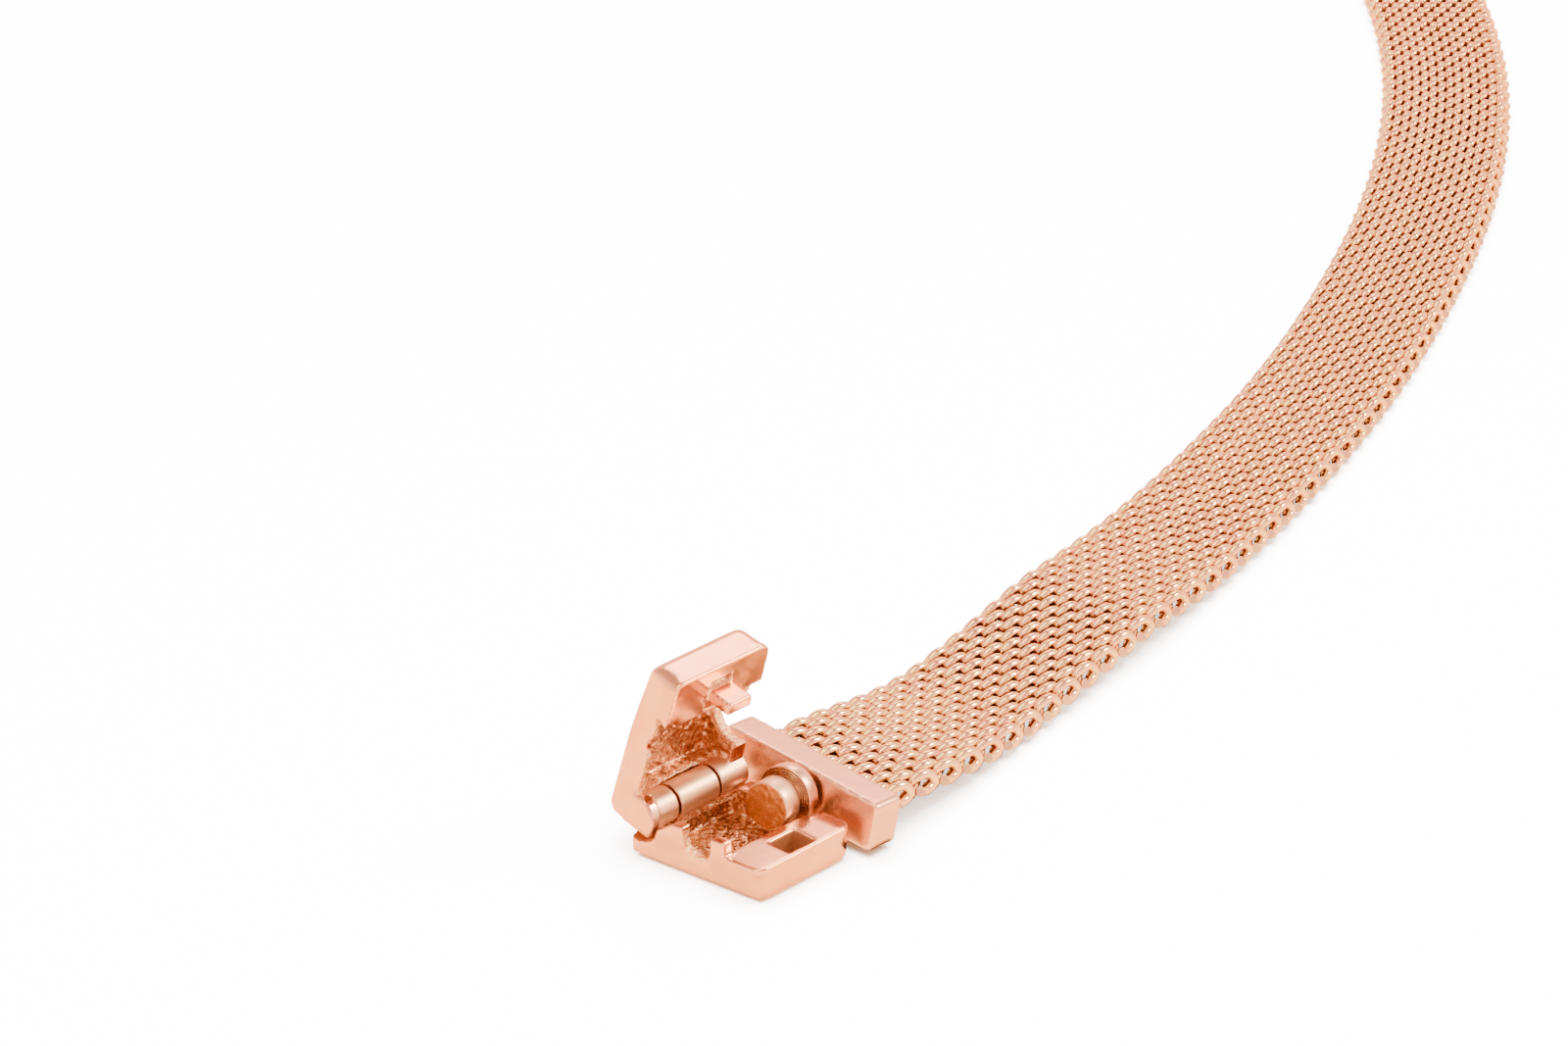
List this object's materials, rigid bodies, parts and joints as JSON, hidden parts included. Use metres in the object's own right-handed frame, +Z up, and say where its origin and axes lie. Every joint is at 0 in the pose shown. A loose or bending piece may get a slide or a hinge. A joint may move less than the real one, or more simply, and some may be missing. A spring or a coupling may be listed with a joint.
{
  "type": "mesh bracelet",
  "caption": "Woven wire mesh bracelet laid open in a curve, with end bars, round-headed studs and a hinged two-leaf box clasp standing open.",
  "frame": {"origin": "middle of the flat underside of the clasp base, where it rests on the table", "axes": "+X along the clasp's opening side towards the band, +Y towards the clasp's hinge, +Z up"},
  "size_m": [0.1675, 0.0927, 0.0127],
  "materials": {
    "plated_clasp": "polished, rose gold plated",
    "plated_bar": "polished, rose gold plated",
    "satin_pin": "satin",
    "plated_mesh": "drawn wire, rose gold plated"
  },
  "bodies": {
    "base": {"clasp_base": "plated_clasp", "hinge_pin": "satin_pin", "end_bar": "plated_bar", "mesh_band": "plated_mesh", "free_end_bar": "plated_bar"},
    "lid": {"clasp_lid": "plated_clasp"}
  },
  "joints": [
    {"name": "lid_hinge", "type": "hinge", "parent": "base", "child": "lid", "pos_m": [0, 0.00421, 0.00287], "axis": [-1, 0, 0], "range_deg": [-79, 12]}
  ]
}
